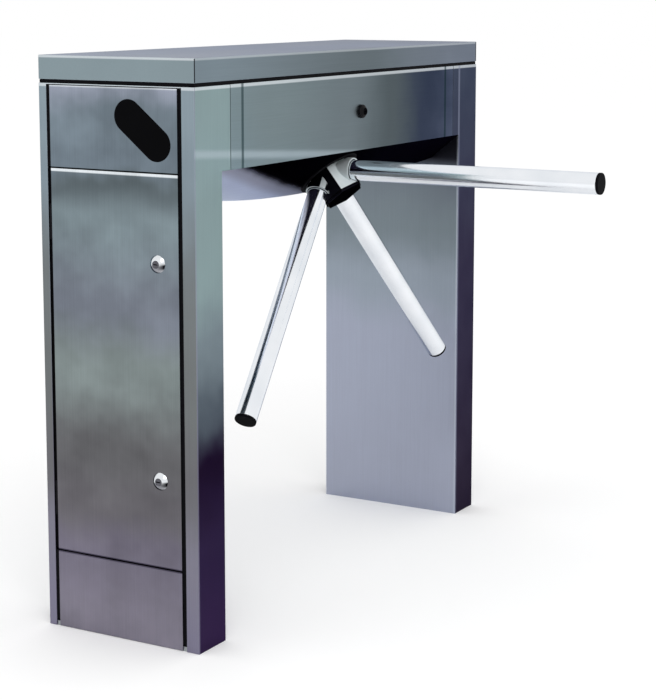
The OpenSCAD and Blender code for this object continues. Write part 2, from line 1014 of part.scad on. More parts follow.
module shaft_bearings() {
    color("lightgray")
        on_axis() {
            bearing(front_bearing_s);
            bearing(rear_bearing_s);
        }
}

// The lip seal on the shaft, and the black ring around the hub on the belly's slanted face
module hub_seals() {
    color("black")
        on_axis() {
            ring(bearing_d, shaft_d + shaft_step + 2 * side_gap,
                front_bearing_s + bearing_w + fit_gap, nose_end_s);
            ring(mouth_ring_d, mouth_d, apex_back + run_gap, mouth_ring_s);
        }
}

module main_shaft() {
    color("lightgray")
        on_axis()
            difference() {
                union() {
                    rod(shaft_d, shaft_end_s, shaft_nose_s);
                    rod(shaft_d + shaft_step, front_bearing_s + bearing_w + run_gap, hub_s);
                }
                rod(hub_bolt_d, shaft_nose_s - hub_bolt_l + hub_bolt_head_t, shaft_nose_s + cut);
            }
}

// The hub: a six-sided head with a collar around each arm, bored for the shaft and the arms
module hub() {
    color("lightgray")
        difference() {
            union() {
                on_axis()
                    translate([0, 0, hub_s])
                        cylinder(h = hub_l, d = hub_d, $fn = 6);
                intersection() {
                    for (i = [0:2])
                        on_arm(i)
                            rod(collar_d, 0, collar_end);
                    on_axis()
                        rod(3 * collar_end, mouth_ring_s + cut, hub_end_s);
                }
            }
            on_axis() {
                rod(shaft_d + 2 * run_gap, hub_s - cut, shaft_nose_s + fit_gap);
                rod(hub_bolt_d + hub_bolt_play, shaft_nose_s, hub_end_s + cut);
                rod(hub_recess_d, hub_end_s - hub_recess, hub_end_s + cut);
            }
            for (i = [0:2])
                on_arm(i)
                    rod(arm_d + fit_gap, arm_root - fit_gap, arm_reach / 2);
        }
}

// A cover with a spigot, pressed into the recess at the hub's end
module hub_cap() {
    color("black")
        on_axis() {
            translate([0, 0, hub_end_s])
                cylinder(h = hub_cap_t, d = hub_cap_d, $fn = 6);
            rod(hub_recess_d - fit_gap,
                hub_end_s - hub_recess + hub_bolt_head_t + side_gap, hub_end_s + cut);
        }
}

// The bolt that holds the hub on the shaft, under the cap
module hub_bolt() {
    head_s = hub_end_s - hub_recess;
    color("gray")
        on_axis()
            difference() {
                union() {
                    rod(hub_bolt_d - 2 * run_gap,
                        shaft_nose_s - hub_bolt_l + 2 * hub_bolt_head_t, head_s + cut);
                    rod(hub_bolt_head_d, head_s, head_s + hub_bolt_head_t);
                }
                translate([0, 0, head_s + hub_bolt_head_t / 2])
                    cylinder(h = hub_bolt_head_t, d = hub_bolt_socket_w, $fn = 6);
            }
}

// A tube from inside the hub to its end cap
module arm(i) {
    color("white")
        on_arm(i)
            difference() {
                rod(arm_d, arm_root, arm_reach - arm_cap_t);
                rod(arm_d - 2 * arm_wall, arm_root + arm_plug, arm_reach);
            }
}

module arm_out() {
    arm(0);
}

module arm_near() {
    arm(1);
}

module arm_far() {
    arm(2);
}

module arm_end_caps() {
    color("black")
        for (i = [0:2])
            on_arm(i) {
                rod(arm_d, arm_reach - arm_cap_t, arm_reach);
                rod(arm_d - 2 * arm_wall - fit_gap,
                    arm_reach - arm_cap_t - arm_cap_plug, arm_reach - arm_cap_t + cut);
            }
}

// Bores a wheel for the shaft and gives it a boss that meets its neighbours
module wheel_boss(span) {
    ring(boss_d, shaft_d + 2 * run_gap, span[0] + fit_gap / 2, span[1] - fit_gap / 2);
}

module lock_disc() {
    color("gray")
        on_axis() {
            difference() {
                rod(disc_d, disc_at[0], disc_at[1]);
                rod(boss_d - cut, disc_at[0] - cut, disc_at[1] + cut);
                for (a = [30:60:330])
                    rotate([0, 0, a])
                        translate([disc_d / 2 - notch_depth, -notch_w / 2, disc_at[0] - cut])
                            cube([notch_depth * 2, notch_w, disc_at[1] - disc_at[0] + 2 * cut]);
            }
            wheel_boss(disc_s);
        }
}

// A cam with three lobes, one for each rest position of the arms
module index_cam() {
    color("darkgray")
        on_axis() {
            translate([0, 0, cam_at[0]])
                linear_extrude(height = cam_at[1] - cam_at[0])
                    difference() {
                        polygon([for (a = [0:4:356])
                            polar(cam_mid - cam_wave * cos(3 * (a - lever_a)), a)]);
                        circle(d = boss_d - cut, $fn = 96);
                    }
            wheel_boss(cam_s);
        }
}

// The lever turns on a pillar and carries the roller that rests in the cam's hollows
module roller_lever() {
    color("gray")
        on_axis() {
            difference() {
                translate([0, 0, lever_at[0]])
                    linear_extrude(height = lever_at[1] - lever_at[0])
                        bar([-pillar_x, -pillar_y], [roller_x, roller_y], lever_w);
                translate([-pillar_x, -pillar_y, 0])
                    rod(pillar_d + 2 * run_gap, lever_at[0] - cut, lever_at[1] + cut);
            }
            translate([roller_x, roller_y, 0])
                rod(lever_pin_d, lever_at[1] - cut, roller_at[1] + lever_pin_past);
        }
}

// A flat bar with round ends and a boss at its first end
module bar(a, b, w) {
    along = atan2(b[1] - a[1], b[0] - a[0]);
    length = norm(b - a);
    translate(a)
        rotate([0, 0, along]) {
            translate([0, -w / 2])
                square([length, w]);
            translate([length, 0])
                circle(d = w, $fn = 64);
            circle(d = lever_boss_d, $fn = 96);
        }
}

module lever_roller() {
    color("lightgray")
        on_axis()
            translate([roller_x, roller_y, 0])
                ring(roller_d, lever_pin_d + 2 * run_gap, roller_at[0], roller_at[1]);
}

// The outline of a spur gear with straight-sided teeth and play in the mesh
module gear_outline(teeth, phase) {
    r = gear_module * teeth / 2;
    pitch = 360 / teeth;
    polygon([for (i = [0:teeth - 1], p = tooth_side)
        polar(r + p[1] * gear_module, (i + p[0]) * pitch + phase)]);
}

module drive_gear() {
    color("darkgoldenrod")
        on_axis() {
            translate([0, 0, gear_at[0]])
                linear_extrude(height = gear_at[1] - gear_at[0])
                    difference() {
                        gear_outline(gear_teeth, 90);
                        circle(d = boss_d - cut, $fn = 96);
                    }
            wheel_boss(gear_s);
        }
}

// The pinion on the damper's shaft, in mesh with the gear
module damper_pinion() {
    color("darkgoldenrod")
        on_axis()
            translate([0, gear_distance, 0]) {
                translate([0, 0, gear_at[0] - cut])
                    linear_extrude(height = gear_at[1] - gear_at[0] + 2 * cut)
                        gear_outline(pinion_teeth, -90 + 180 / pinion_teeth);
                rod(damper_shaft_d, damper_s - damper_shaft_in, gear_at[1] + damper_shaft_past);
            }
}

module rotary_damper() {
    color("black")
        on_axis()
            translate([0, gear_distance, 0])
                difference() {
                    rod(damper_d, rear_plate_s + plate_t, damper_s);
                    rod(damper_shaft_d + 2 * run_gap, damper_s - damper_shaft_in - cut, damper_s + cut);
                }
}

module position_disc() {
    color("dimgray")
        on_axis() {
            difference() {
                rod(code_d, code_at[0], code_at[1]);
                rod(boss_d - cut, code_at[0] - cut, code_at[1] + cut);
                for (a = [60:120:300])
                    rotate([0, 0, a])
                        translate([code_d / 2 - code_slot, -code_slot_w / 2, code_at[0] - cut])
                            cube([2 * code_slot, code_slot_w, code_at[1] - code_at[0] + 2 * cut]);
            }
            wheel_boss(code_s);
        }
}

module position_sensor() {
    color("black")
        on_axis()
            difference() {
                translate([code_d / 2 - sensor_in, -sensor_size[1] / 2, rear_plate_s + plate_t])
                    cube([sensor_size[0], sensor_size[1],
                        code_at[1] + sensor_past - rear_plate_s - plate_t]);
                translate([code_d / 2 - sensor_in - cut, -sensor_size[1] / 2 - cut,
                    code_at[0] - sensor_slot_side])
                    cube([sensor_slot_l, sensor_size[1] + 2 * cut,
                        code_at[1] - code_at[0] + 2 * sensor_slot_side]);
            }
}

// A pawl turns on a pillar and its round nose rests just outside the lock disc's rim
module pawl() {
    difference() {
        translate([0, 0, pawl_at[0]])
            linear_extrude(height = pawl_at[1] - pawl_at[0])
                bar([pillar_x, pillar_y], [-pawl_nose_x, pawl_nose_y], pawl_w);
        translate([pillar_x, pillar_y, 0])
            rod(pillar_d + 2 * run_gap, pawl_at[0] - cut, pawl_at[1] + cut);
    }
}

module entry_pawl() {
    color("gray")
        on_axis()
            pawl();
}

module exit_pawl() {
    color("gray")
        on_axis()
            rotate([0, 0, 180])
                pawl();
}

// A solenoid on the mechanism plate, with the bore for its plunger
module solenoid() {
    mid_x = (solenoid_x[0] + solenoid_x[1]) / 2;
    mid_s = (pawl_at[0] + pawl_at[1]) / 2;
    difference() {
        translate([solenoid_x[0], solenoid_y[0], pawl_at[0] - solenoid_low])
            cube([solenoid_x[1] - solenoid_x[0], solenoid_y[1] - solenoid_y[0],
                plate_s - pawl_at[0] + solenoid_low]);
        translate([mid_x, solenoid_y[0] - cut, mid_s])
            rotate([-90, 0, 0])
                cylinder(h = solenoid_y[1] - solenoid_y[0], d = plunger_d + 2 * run_gap, $fn = 64);
    }
}

module plunger() {
    mid_x = (solenoid_x[0] + solenoid_x[1]) / 2;
    mid_s = (pawl_at[0] + pawl_at[1]) / 2;
    translate([mid_x, pawl_nose_y + pawl_w / 2 + plunger_gap, mid_s])
        rotate([-90, 0, 0])
            cylinder(h = plunger_l, d = plunger_d, $fn = 64);
}

module solenoids() {
    color("midnightblue")
        on_axis()
            for (a = [0, 180])
                rotate([0, 0, a])
                    solenoid();
}

module entry_plunger() {
    color("lightgray")
        on_axis()
            plunger();
}

module exit_plunger() {
    color("lightgray")
        on_axis()
            rotate([0, 0, 180])
                plunger();
}

base_plates();
front_leg();
rear_leg();
right_side_panel();
left_side_panel();
belly_cover();
chassis();
lid();
lid_seal();
lid_hinge_leaves();
panel_hinge_leaves();
hinge_pins();
front_head_panel();
front_window();
indicator_boards();
service_door();
door_hinge_leaves();
leg_hinge_leaves();
end_seals();
door_lock_bodies();
upper_lock_plug();
lower_lock_plug();
kick_panel();
rear_head_panel();
rear_window();
rear_cover();
rear_cover_screws();
override_lock_body();
override_lock_plug();
electronics_tray();
control_board();
power_supply();
mechanism_plate();
rear_plate();
mechanism_pillars();
bearing_housing();
shaft_bearings();
hub_seals();
main_shaft();
hub();
hub_cap();
hub_bolt();
arm_out();
arm_near();
arm_far();
arm_end_caps();
lock_disc();
index_cam();
roller_lever();
lever_roller();
drive_gear();
damper_pinion();
rotary_damper();
position_disc();
position_sensor();
entry_pawl();
exit_pawl();
entry_plunger();
exit_plunger();
solenoids();
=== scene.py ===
import json
import math

import bpy
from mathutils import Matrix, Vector


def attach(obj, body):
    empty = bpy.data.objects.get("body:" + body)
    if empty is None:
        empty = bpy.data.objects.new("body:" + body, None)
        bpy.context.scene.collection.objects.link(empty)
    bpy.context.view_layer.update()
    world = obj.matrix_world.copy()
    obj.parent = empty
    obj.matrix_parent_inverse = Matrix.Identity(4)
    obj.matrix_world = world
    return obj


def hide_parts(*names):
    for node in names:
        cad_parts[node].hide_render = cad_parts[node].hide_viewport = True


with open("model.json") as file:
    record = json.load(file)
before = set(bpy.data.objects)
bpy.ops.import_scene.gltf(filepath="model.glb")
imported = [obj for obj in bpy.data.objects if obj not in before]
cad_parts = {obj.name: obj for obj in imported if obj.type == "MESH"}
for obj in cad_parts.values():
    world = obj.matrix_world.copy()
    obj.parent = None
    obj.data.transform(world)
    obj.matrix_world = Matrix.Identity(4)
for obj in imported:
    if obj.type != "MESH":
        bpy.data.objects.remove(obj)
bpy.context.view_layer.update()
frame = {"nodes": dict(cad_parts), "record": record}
bpy.context.scene.view_settings.view_transform = "Standard"
print("frame loaded:", len(frame["nodes"]), "nodes")

behaviour = frame["record"]["behaviour"]
bodyOf = {node: body for body, nodes in behaviour["bodies"].items() for node in nodes}
slotOf = {part["node"]: part["material_slot"] for part in frame["record"]["subparts"]}
mm = 0.001

# The photograph's camera: places in metres, the lens in pixels of an image 656 wide and 700 high
cameraValues = {
    "place": (1.8056, -2.9744, 1.0907),
    "turn": 0.5203,       # radians from +Y towards -X
    "dip": 0.1401,        # radians below the horizontal
    "focal": 1863.2,
    "imageHigh": 700,
    "axisRow": 250,       # the row that the lens points at
    "sensor": 36.0,
    "nearest": 0.05,
    "farthest": 100,
}


def makeCamera(values):
    bpy.ops.object.camera_add(location=values["place"])
    camera = bpy.context.object
    camera.rotation_euler = (math.pi / 2 - values["dip"], 0, values["turn"])
    camera.data.sensor_width = values["sensor"]
    camera.data.lens = values["focal"] / values["imageHigh"] * values["sensor"]
    camera.data.shift_y = (values["axisRow"] - values["imageHigh"] / 2) / values["imageHigh"]
    camera.data.clip_start = values["nearest"]
    camera.data.clip_end = values["farthest"]
    bpy.context.scene.camera = camera


makeCamera(cameraValues)
print("camera placed")


# Colours are written as sRGB hex and used as linear values
def toLinear(hexColour):
    channels = [int(hexColour[i:i + 2], 16) / 255 for i in (1, 3, 5)]
    return tuple([c / 12.92 if c <= 0.04045 else ((c + 0.055) / 1.055) ** 2.4 for c in channels] + [1])


# Adds one node; a setting is an input's name or number, or else one of the node's own properties
def addNode(tree, kind, settings=None, links=None):
    node = tree.nodes.new(kind)
    for key, value in (settings or {}).items():
        if isinstance(key, int) or key in node.inputs:
            node.inputs[key].default_value = value
        else:
            setattr(node, key, value)
    for key, source in (links or {}).items():
        tree.links.new(source, node.inputs[key])
    return node


def newMaterial(name):
    material = bpy.data.materials.new(name)
    material.use_nodes = True
    tree = material.node_tree
    tree.nodes.clear()
    return material, tree


def finishMaterial(tree, shader):
    addNode(tree, "ShaderNodeOutputMaterial", links={"Surface": shader.outputs[0]})


# How far a place lies along a direction
def along(tree, place, direction):
    dot = addNode(tree, "ShaderNodeVectorMath", {"operation": "DOT_PRODUCT", 1: direction}, {0: place})
    return dot.outputs["Value"]


# The sheet's tone, painted reflections and shade: one run of colours for each way that its faces look,
# moved about by soft clouds
def sheetTone(tree, place, values):
    clouds = addNode(tree, "ShaderNodeTexNoise", {"Scale": 1 / (values["cloud"] * mm), "Detail": 3.0,
        "Roughness": 0.6}, {"Vector": place})
    shift = addNode(tree, "ShaderNodeMath", {"operation": "MULTIPLY_ADD", 1: values["drift"],
        2: -values["drift"] / 2}, {0: clouds.outputs["Fac"]})
    facing = addNode(tree, "ShaderNodeTexCoord").outputs["Normal"]
    squares = addNode(tree, "ShaderNodeVectorMath", {"operation": "MULTIPLY"}, {0: facing, 1: facing})
    parts = addNode(tree, "ShaderNodeSeparateXYZ", links={0: squares.outputs[0]})
    tone = None
    for axis, (direction, low, high, stops) in values["faces"].items():
        share = addNode(tree, "ShaderNodeMapRange", {"From Min": low, "From Max": high},
            {"Value": along(tree, place, direction)})
        total = addNode(tree, "ShaderNodeMath", {"operation": "ADD"},
            {0: share.outputs["Result"], 1: shift.outputs[0]})
        ramp = addNode(tree, "ShaderNodeValToRGB", links={"Fac": total.outputs[0]})
        ramp.color_ramp.interpolation = "EASE"
        while len(ramp.color_ramp.elements) < len(stops):
            ramp.color_ramp.elements.new(0.5)
        for element, (where, colour) in zip(ramp.color_ramp.elements, stops):
            element.position = where
            element.color = toLinear(colour)
        if tone is None:
            tone = ramp.outputs["Color"]
        else:
            mix = addNode(tree, "ShaderNodeMix", {"data_type": "RGBA"},
                {0: parts.outputs[axis], 6: tone, 7: ramp.outputs["Color"]})
            tone = mix.outputs[2]
    return tone, clouds


# Bright and dark bands: painted highlights, painted shade and reflections, dark seams. A band has its
# direction,
# its two ends along it, its soft edge in metres, its strength, its colour, and the way that its faces look.
def addBands(tree, place, tone, bands):
    facing = addNode(tree, "ShaderNodeTexCoord").outputs["Normal"]
    for direction, low, high, soft, strength, colour, side in bands:
        middle, half = (low + high) / 2, (high - low) / 2
        off = addNode(tree, "ShaderNodeMath", {"operation": "SUBTRACT", 1: middle},
            {0: along(tree, place, direction)})
        away = addNode(tree, "ShaderNodeMath", {"operation": "ABSOLUTE"}, {0: off.outputs[0]})
        mask = addNode(tree, "ShaderNodeMapRange", {"interpolation_type": "SMOOTHSTEP", "From Min": half,
            "From Max": half + soft, "To Min": strength, "To Max": 0.0}, {"Value": away.outputs[0]})
        turned = addNode(tree, "ShaderNodeVectorMath", {"operation": "DOT_PRODUCT", 1: side}, {0: facing})
        seen = addNode(tree, "ShaderNodeMath", {"operation": "MULTIPLY", "use_clamp": True},
            {0: mask.outputs["Result"], 1: turned.outputs["Value"]})
        mix = addNode(tree, "ShaderNodeMix", {"data_type": "RGBA", 7: toLinear(colour)},
            {0: seen.outputs[0], 6: tone})
        tone = mix.outputs[2]
    return tone


# Brushed stainless sheet: rolled, then ground with a belt, which leaves fine lines in one direction
# and spreads the reflections across them. Real lines are 0.1 mm apart and are drawn coarser to show.
def brushedStainless(name, values):
    material, tree = newMaterial(name)
    place = addNode(tree, "ShaderNodeTexCoord").outputs["Object"]
    tone, clouds = sheetTone(tree, place, values)
    tone = addBands(tree, place, tone, values.get("bands", []))
    fine, long = 1 / (values["line"] * mm), 1 / (values["lineLong"] * mm)
    stretch = [fine, fine, fine]
    stretch["XYZ".index(values["grain"])] = long
    lines = addNode(tree, "ShaderNodeMapping", {"Scale": stretch}, {"Vector": place})
    hair = addNode(tree, "ShaderNodeTexNoise", {"Scale": 1.0, "Detail": 4.0, "Roughness": 0.7},
        {"Vector": lines.outputs[0]})
    tint = addNode(tree, "ShaderNodeMapRange", {"From Min": 0.25, "From Max": 0.75,
        "To Min": 1 - values["contrast"], "To Max": 1 + values["contrast"]}, {"Value": hair.outputs["Fac"]})
    blotch = addNode(tree, "ShaderNodeMapRange", {"From Min": 0.3, "From Max": 0.7,
        "To Min": 1 - values["blotch"], "To Max": 1 + values["blotch"]}, {"Value": clouds.outputs["Fac"]})
    both = addNode(tree, "ShaderNodeMath", {"operation": "MULTIPLY"},
        {0: tint.outputs["Result"], 1: blotch.outputs["Result"]})
    colour = addNode(tree, "ShaderNodeVectorMath", {"operation": "SCALE"},
        {0: tone, "Scale": both.outputs[0]})
    rough = addNode(tree, "ShaderNodeMapRange", {"From Min": 0.2, "From Max": 0.8,
        "To Min": values["rough"][0], "To Max": values["rough"][1]}, {"Value": clouds.outputs["Fac"]})
    bump = addNode(tree, "ShaderNodeBump", {"Strength": values["bump"], "Distance": values["lineDeep"] * mm},
        {"Height": hair.outputs["Fac"]})
    shader = addNode(tree, "ShaderNodeBsdfPrincipled", {"Metallic": 1.0, "Anisotropic": values["spread"]},
        {"Base Color": colour.outputs[0], "Specular Tint": colour.outputs[0],
        "Roughness": rough.outputs["Result"], "Normal": bump.outputs["Normal"]})
    finishMaterial(tree, shader)
    return material


upwards, lengthways = (0, 0, 1), (0, 1, 0)
# From the floor to the housing's top edge, and from one end of the housing to the other
legRun, beamRun = (upwards, 0, 0.94), (lengthways, -0.52, 0.52)
# Lines and clouds are sized in millimetres
sheetLook = {"line": 1.4, "lineLong": 160, "lineDeep": 0.1, "grain": "Z", "contrast": 0.05, "blotch": 0.05,
    "rough": (0.28, 0.42), "bump": 0.12, "spread": 0.4, "cloud": 210, "drift": 0.2}
edgeHighlight = "#E4EAEE"
# Painted highlights: a bright line on the housing's top edge, and a soft painted glint that crosses
# the leg and the beam just above the belly
topEdgeHighlight = (upwards, 0.9295, 0.9345, 0.002, 0.6, edgeHighlight, (1, -1, 0))
sideGlint = ((0, 0.074, 1), 0.788, 0.79, 0.01, 0.55, "#B4C1C8", (1, 0, 0))
# The seams beside the beam's side panels look dark where the sheet turns in; a painted highlight runs
# down the near leg's corner
headSeams = [(lengthways, y - 0.0022, y + 0.0022, 0.003, 0.7, "#35474A", (side, 0, 0))
    for y in (-0.377, 0.377) for side in (-1, 1)]
legCornerHighlight = (lengthways, -0.5205, -0.5178, 0.0015, 0.45, "#8F8EA3", (1, 0, 0))
# Legs and end panels: lines run upwards; painted reflections take the steel from blue grey at the top
# to purple grey below, with painted highlights along its edges
legSteel = brushedStainless("brushed stainless, legs", {**sheetLook,
    "bands": [topEdgeHighlight, sideGlint, legCornerHighlight, *headSeams], "faces": {
    "Y": (*legRun, [(0.0, "#827F93"), (0.18, "#7D7B89"), (0.31, "#6A6A6E"),
        (0.46, "#6E7273"), (0.6, "#727779"), (0.85, "#83919A"), (1.0, "#8C9BA4")]),
    "X": (*legRun, [(0.0, "#453855"), (0.2, "#3C324C"), (0.33, "#2E2438"), (0.44, "#59616A"),
        (0.55, "#7C888F"), (0.68, "#8EA1A3"), (1.0, "#8EA1A3")]),
}})
# The far leg: painted reflections in its tones, painted highlights along two of its edges, and painted
# shade close under the beam, where it reflects the belly
farLegSteel = brushedStainless("brushed stainless, far leg", {**sheetLook,
    "bands": [topEdgeHighlight, (upwards, 0.748, 0.96, 0.03, 0.9, "#15121D", (0, -1, 0)),
        ((1, 0, 0), 0.1525, 0.156, 0.0015, 0.6, "#B9C0CC", (0, -1, 0)),
        (lengthways, 0.4385, 0.444, 0.002, 0.5, "#969BAE", (1, 0, 0))], "faces": {
    "Y": (*legRun, [(0.0, "#A4A9BA"), (0.4, "#9EA4B5"), (0.52, "#929CA8"), (0.64, "#79848B"),
        (0.8, "#6A717C"), (1.0, "#8E97A2")]),
    "X": (*legRun, [(0.0, "#4A4453"), (0.55, "#4E4B5D"), (1.0, "#595F6E")]),
}})
# Doors and covers: cloudier, with painted reflections in their tones from the floor up, a painted
# highlight along the door's top, and dark along the seam over the kick panel
doorSteel = brushedStainless("brushed stainless, doors", {**sheetLook, "contrast": 0.07, "blotch": 0.2,
    "cloud": 120, "drift": 0.1, "bands": [topEdgeHighlight,
        (upwards, 0.789, 0.793, 0.002, 0.9, edgeHighlight, (0, -1, 0)),
        (upwards, 0.1335, 0.1385, 0.0012, 0.7, "#211B33", (0, -1, 0))], "faces": {
    "Y": (*legRun, [(0.0, "#86828F"), (0.16, "#726E7C"), (0.24, "#656368"), (0.33, "#656568"),
        (0.5, "#7B8585"), (0.6, "#747A85"), (0.76, "#7D8B91"), (0.82, "#5C666B"), (0.86, "#6E7A84"),
        (0.93, "#77848E"), (1.0, "#989EAE")]),
}})
# The beam's sides and the lid: lines run along the beam; their tones are painted reflections, lighter
# on the lid's top, with a painted highlight along the lid's top edge
sideSteel = brushedStainless("brushed stainless, beam sides", {**sheetLook, "grain": "Y",
    "bands": [topEdgeHighlight, sideGlint, *headSeams], "faces": {
    "X": (*beamRun, [(0.0, "#83949A"), (0.24, "#808D91"), (0.46, "#7C868B"), (0.64, "#656D71"),
        (0.8, "#4C5363"), (1.0, "#6A7183")]),
}})
lidSteel = brushedStainless("brushed stainless, lid", {**sheetLook, "grain": "Y",
    "bands": [(upwards, 0.977, 0.9805, 0.002, 0.6, edgeHighlight, (0.6, -1, 0))], "faces": {
    "X": (*beamRun, [(0.0, "#828F97"), (0.5, "#767F84"), (1.0, "#838A96")]),
    "Y": (*beamRun, [(0.0, "#87969C"), (1.0, "#87969C")]),
    "Z": (*beamRun, [(0.0, "#ABB1BD"), (0.5, "#A3A9B6"), (1.0, "#9EA4B1")]),
}})
# The belly's passage side carries painted reflections: pale below, a painted highlight, then dark
# towards the hub; its other side stays plain
bellySteel = brushedStainless("brushed stainless, belly", {**sheetLook, "grain": "Y", "drift": 0.04,
    "faces": {
    "X": ((8, 1, -5.08), -4.6, -2.6, [(0.0, "#7E8795"), (0.48, "#7E8795"), (0.53, "#F0F8FF"),
        (0.65, "#DFE5F4"), (0.69, "#BFC0CC"), (0.73, "#16151F"), (1.0, "#1A1728")]),
}})
print("steel sheets made")


# What metals, plastics and paint share: two colours in soft patches, and fine marks that change the shine
# and dent the surface. Marks and patches are sized in millimetres.
def markedSurface(tree, place, values, form):
    marks = addNode(tree, "ShaderNodeTexNoise", {"Scale": 1 / (values["mark"] * mm),
        "Detail": form["markDetail"]}, {"Vector": place})
    patch = addNode(tree, "ShaderNodeTexNoise", {"Scale": 1 / (values["patch"] * mm),
        "Detail": form["patchDetail"]}, {"Vector": place})
    colour = addNode(tree, "ShaderNodeMix", {"data_type": "RGBA", 6: toLinear(values["low"]),
        7: toLinear(values["high"])}, {0: patch.outputs["Fac"]})
    rough = addNode(tree, "ShaderNodeMapRange", {"From Min": 0.3, "From Max": 0.7,
        "To Min": values["rough"][0], "To Max": values["rough"][1]}, {"Value": marks.outputs["Fac"]})
    bump = addNode(tree, "ShaderNodeBump", {"Strength": values["bump"], "Distance": form["deep"] * mm},
        {"Height": marks.outputs["Fac"]})
    return colour.outputs[2], rough.outputs["Result"], bump.outputs["Normal"]


metalForm = {"markDetail": 5.0, "patchDetail": 2.0, "deep": 0.1}
mouldedForm = {"markDetail": 4.0, "patchDetail": 3.0, "deep": 0.15}


# A metal with no pattern from its making but fine marks: castings, turned parts, chrome
def plainMetal(name, values):
    material, tree = newMaterial(name)
    place = addNode(tree, "ShaderNodeTexCoord").outputs["Object"]
    colour, rough, bump = markedSurface(tree, place, values, metalForm)
    tone = addBands(tree, place, colour, values.get("bands", []))
    shader = addNode(tree, "ShaderNodeBsdfPrincipled", {"Metallic": 1.0},
        {"Base Color": tone, "Specular Tint": tone, "Roughness": rough, "Normal": bump})
    finishMaterial(tree, shader)
    return material


# Chrome mirrors the white room; the hub's casting is pale and dull, and its tone also paints the hub's
# bright reflections
chrome = plainMetal("polished chrome", {"mark": 2.0, "patch": 60, "low": "#DDE2E8", "high": "#F2F4F7",
    "rough": (0.1, 0.18), "bump": 0.02})
hubMetalAndHighlight = plainMetal("ground stainless casting", {"mark": 0.9, "patch": 25, "low": "#C0C8CA",
    "high": "#DDE3E5", "rough": (0.55, 0.66), "bump": 0.1})
# The domes of the locks shine above, carry a painted reflection of the grey floor below and painted
# shade on the side by the joint
lockHeights = (0.646, 0.284)
lockChrome = plainMetal("chromed die casting", {"mark": 1.2, "patch": 15, "low": "#D5DADF", "high": "#F2F4F6",
    "rough": (0.08, 0.16), "bump": 0.03,
    "bands": [(upwards, z - 0.016, z - 0.004, 0.003, 0.75, "#77777F", (0, -1.2, 0)) for z in lockHeights]
    + [(upwards, z - 0.006, z - 0.002, 0.005, 1.0, "#0A0A10", (1.5, 0, 0)) for z in lockHeights]})
# Inside: dull plated brackets, shinier turned parts, yellow wheels, and an even pale case
zincSteel = plainMetal("zinc plated steel", {"mark": 1.0, "patch": 9, "low": "#8D9296", "high": "#B3B8BA",
    "rough": (0.3, 0.45), "bump": 0.12})
machinedSteel = plainMetal("turned steel", {"mark": 0.7, "patch": 12, "low": "#84888B", "high": "#A6AAAC",
    "rough": (0.22, 0.36), "bump": 0.1})
gearBrass = plainMetal("milled brass", {"mark": 0.7, "patch": 14, "low": "#A98A4A", "high": "#CDB070",
    "rough": (0.25, 0.38), "bump": 0.08})
supplyCase = plainMetal("anodised aluminium", {"mark": 0.8, "patch": 20, "low": "#A4A7AA", "high": "#BFC2C4",
    "rough": (0.35, 0.48), "bump": 0.1})
# Hinges are blackened. The hub's black faces and its pale rims and flats between the arms are painted
# reflections on a cast hub
blackSteel = plainMetal("black oxide steel", {"mark": 0.8, "patch": 10, "low": "#141416", "high": "#232327",
    "rough": (0.4, 0.55), "bump": 0.1})
blackCastingAndDarkReflection = plainMetal("blackened casting", {"mark": 1.1, "patch": 14, "low": "#0C0B11", "high": "#191820",
    "rough": (0.3, 0.45), "bump": 0.2})
# The turning plugs of the locks are darker than their bodies
plugMetal = plainMetal("dark nickel", {"mark": 0.8, "patch": 6, "low": "#3E3E44", "high": "#6E6E75",
    "rough": (0.25, 0.4), "bump": 0.1})


# Plastics, rubber and paint: the marks are the grain that the mould or the spray leaves
def plainSurface(name, values):
    material, tree = newMaterial(name)
    place = addNode(tree, "ShaderNodeTexCoord").outputs["Object"]
    colour, rough, bump = markedSurface(tree, place, values, mouldedForm)
    shader = addNode(tree, "ShaderNodeBsdfPrincipled", {"IOR": values["ior"],
        "Specular IOR Level": values["shine"]}, {"Base Color": colour, "Roughness": rough, "Normal": bump})
    finishMaterial(tree, shader)
    return material


# Rubber is dull and deep black, plastic a little smoother, and the window is smooth and almost a hole
blackRubber = plainSurface("black rubber", {"mark": 0.8, "patch": 20, "low": "#060608", "high": "#0E0E12",
    "rough": (0.55, 0.75), "bump": 0.25, "ior": 1.52, "shine": 0.03})
blackPlastic = plainSurface("moulded black ABS", {"mark": 0.6, "patch": 18, "low": "#060608",
    "high": "#101013", "rough": (0.35, 0.5), "bump": 0.15, "ior": 1.54, "shine": 0.08})
smokedWindow = plainSurface("smoked acrylic", {"mark": 3.0, "patch": 50, "low": "#020203", "high": "#050507",
    "rough": (0.12, 0.18), "bump": 0.02, "ior": 1.49, "shine": 0.03})
# Inside: charcoal paint with a fine orange peel, and glossy green boards
framePaint = plainSurface("black powder coat", {"mark": 0.9, "patch": 25, "low": "#151517", "high": "#232326",
    "rough": (0.4, 0.55), "bump": 0.3, "ior": 1.5, "shine": 0.08})
boardGreen = plainSurface("solder mask on fibreglass", {"mark": 1.5, "patch": 8, "low": "#0C4A26",
    "high": "#176B38", "rough": (0.2, 0.35), "bump": 0.15, "ior": 1.55, "shine": 0.08})
print("other finishes made")

slotMaterials = {
    "brushed_stainless": legSteel, "polished_chrome": chrome, "cast_hub": hubMetalAndHighlight, "zinc_steel": zincSteel,
    "painted_frame": framePaint, "machined_steel": machinedSteel, "gear_brass": gearBrass,
    "black_rubber": blackRubber, "black_plastic": blackPlastic, "smoked_window": smokedWindow,
    "circuit_board": boardGreen, "lock_chrome": lockChrome, "supply_case": supplyCase,
}
